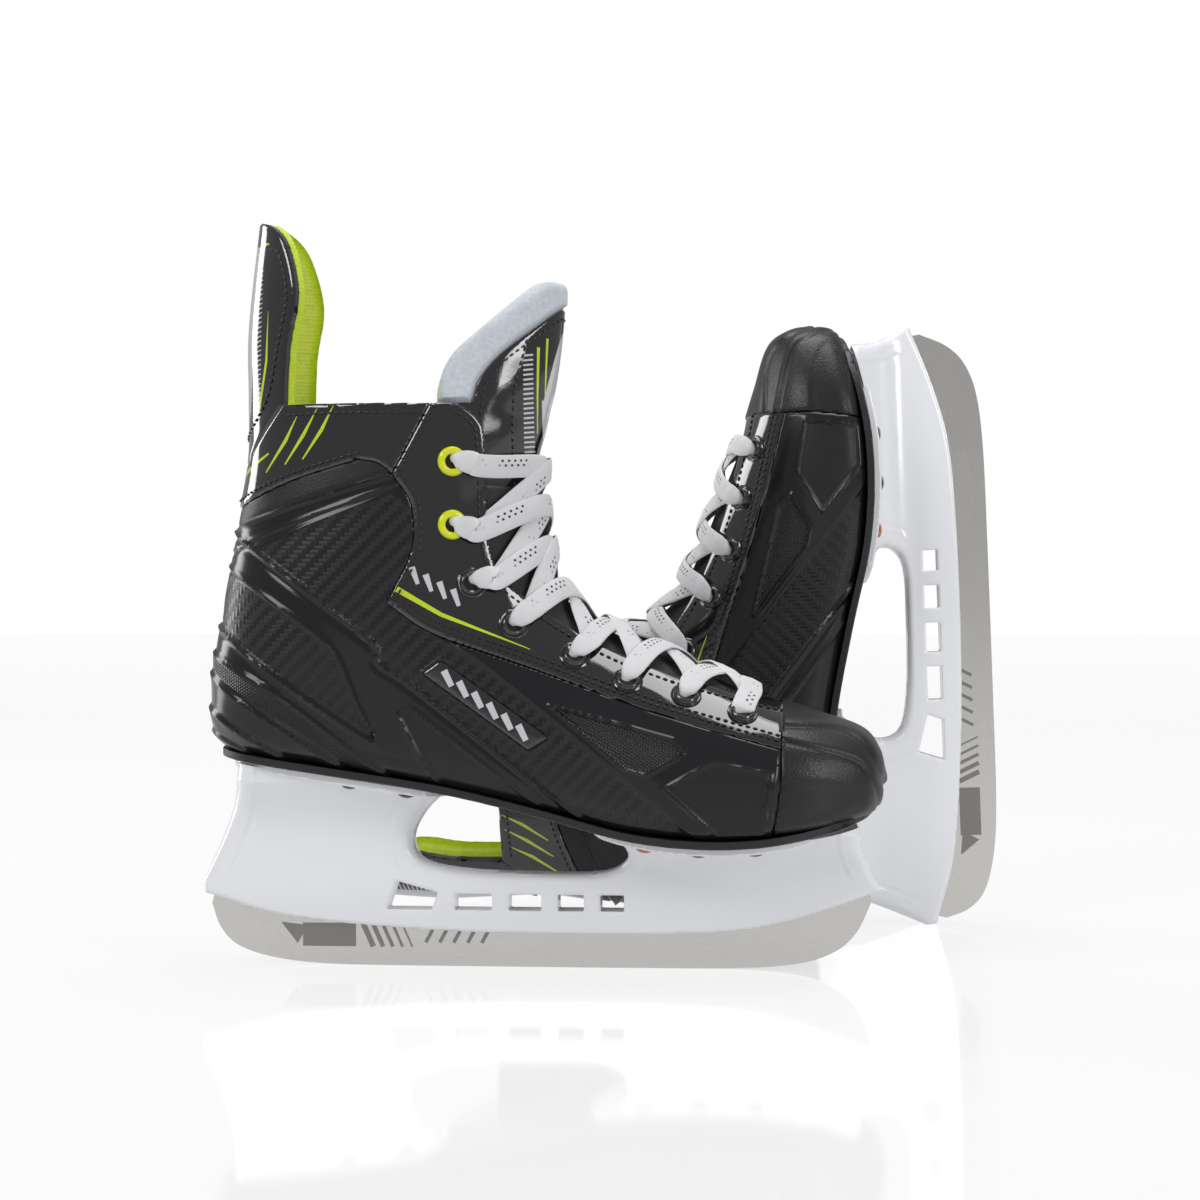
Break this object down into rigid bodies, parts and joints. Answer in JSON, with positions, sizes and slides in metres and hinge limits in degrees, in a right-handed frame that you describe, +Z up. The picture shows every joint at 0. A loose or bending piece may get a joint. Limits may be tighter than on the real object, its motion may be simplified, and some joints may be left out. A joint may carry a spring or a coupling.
{
  "type": "ice skates",
  "caption": "Pair of ice hockey skates: laced boots with tendon guards on blade holders with steel runners, one standing, one on its heel end.",
  "frame": {"origin": "on the floor, at the middle of the pair's footprint box", "axes": "+X from the heel to the toe of the standing right skate, +Z up, -Y out from the side that faces the viewer"},
  "size_m": [0.3508, 0.2422, 0.3174],
  "materials": {
    "runner_steel": "ground and brushed, polished edge",
    "holder_white": "smooth gloss moulding",
    "outsole_black": "fine grain",
    "board": "pressed fibre board",
    "footbed_foam": "foam with a woven top",
    "shell_black": "satin with moulded textures",
    "toe_black": "fine leather grain",
    "patent_black": "patent, high gloss, stitched",
    "badge_black": "printed rubber badge",
    "eyelet_lime": "gloss",
    "eyelet_black": "black nickel, polished",
    "lining_lime": "brushed felt",
    "lining_black": "brushed knit",
    "felt_grey": "thick pressed felt",
    "pad_foam": "foam",
    "lace_white": "flat braid with dark flecks",
    "rivet_copper": "copper, domed",
    "rivet_black": "black steel, domed",
    "bolt_steel": "zinc plated"
  },
  "bodies": {
    "right_boot": {"right_runner": "runner_steel", "right_holder": "holder_white", "right_outsole": "outsole_black", "right_insole_board": "board", "right_footbed": "footbed_foam", "right_quarter_medial": "shell_black", "right_quarter_lateral": "shell_black", "right_toe_cap": "toe_black", "right_collar": "patent_black", "right_eyelets_lime": "eyelet_lime", "right_eyelets_black": "eyelet_black", "right_eyestay_medial": "patent_black", "right_eyestay_lateral": "patent_black", "right_side_badge": "badge_black", "right_guard_base": "patent_black", "right_tongue_cover": "patent_black", "right_tongue_felt": "felt_grey", "right_ankle_pads": "pad_foam", "right_ankle_lining": "lining_lime", "right_vamp_lining": "lining_black", "right_lace": "lace_white", "right_rivets_copper": "rivet_copper", "right_rivets_black": "rivet_black", "right_runner_bolts": "bolt_steel"},
    "right_guard_top_part": {"right_guard_top": "patent_black", "right_guard_lining": "lining_lime"},
    "right_tongue_top_part": {"right_tongue_top_cover": "patent_black", "right_tongue_top_felt": "felt_grey"},
    "left_boot": {"left_runner": "runner_steel", "left_holder": "holder_white", "left_outsole": "outsole_black", "left_insole_board": "board", "left_footbed": "footbed_foam", "left_quarter_medial": "shell_black", "left_quarter_lateral": "shell_black", "left_toe_cap": "toe_black", "left_collar": "patent_black", "left_eyelets_lime": "eyelet_lime", "left_eyelets_black": "eyelet_black", "left_eyestay_medial": "patent_black", "left_eyestay_lateral": "patent_black", "left_side_badge": "badge_black", "left_guard_base": "patent_black", "left_tongue_cover": "patent_black", "left_tongue_felt": "felt_grey", "left_ankle_pads": "pad_foam", "left_ankle_lining": "lining_lime", "left_vamp_lining": "lining_black", "left_lace": "lace_white", "left_rivets_copper": "rivet_copper", "left_rivets_black": "rivet_black", "left_runner_bolts": "bolt_steel"},
    "left_guard_top_part": {"left_guard_top": "patent_black", "left_guard_lining": "lining_lime"},
    "left_tongue_top_part": {"left_tongue_top_cover": "patent_black", "left_tongue_top_felt": "felt_grey"}
  },
  "joints": [
    {"name": "right_guard_flex", "type": "hinge", "parent": "right_boot", "child": "right_guard_top_part", "pos_m": [-0.15792, -0.07, 0.2385], "axis": [0, 1, 0], "range_deg": [-25, 3], "stiffness_Nm_per_rad": 4},
    {"name": "right_tongue_flop", "type": "hinge", "parent": "right_boot", "child": "right_tongue_top_part", "pos_m": [-0.02242, -0.07, 0.238], "axis": [0, 1, 0], "range_deg": [-2, 35], "stiffness_Nm_per_rad": 1.5},
    {"name": "left_guard_flex", "type": "hinge", "parent": "left_boot", "child": "left_guard_top_part", "pos_m": [-0.06111, 0.07, 0.01011], "axis": [0, 1, 0], "range_deg": [-25, 3], "stiffness_Nm_per_rad": 4},
    {"name": "left_tongue_flop", "type": "hinge", "parent": "left_boot", "child": "left_tongue_top_part", "pos_m": [-0.06555, 0.07, 0.14554], "axis": [0, 1, 0], "range_deg": [-2, 35], "stiffness_Nm_per_rad": 1.5},
    {"name": "left_skate_lift", "type": "slide", "parent": "right_boot", "child": "left_boot", "axis": [0, 0, 1], "range_m": [0, 0.3]}
  ]
}
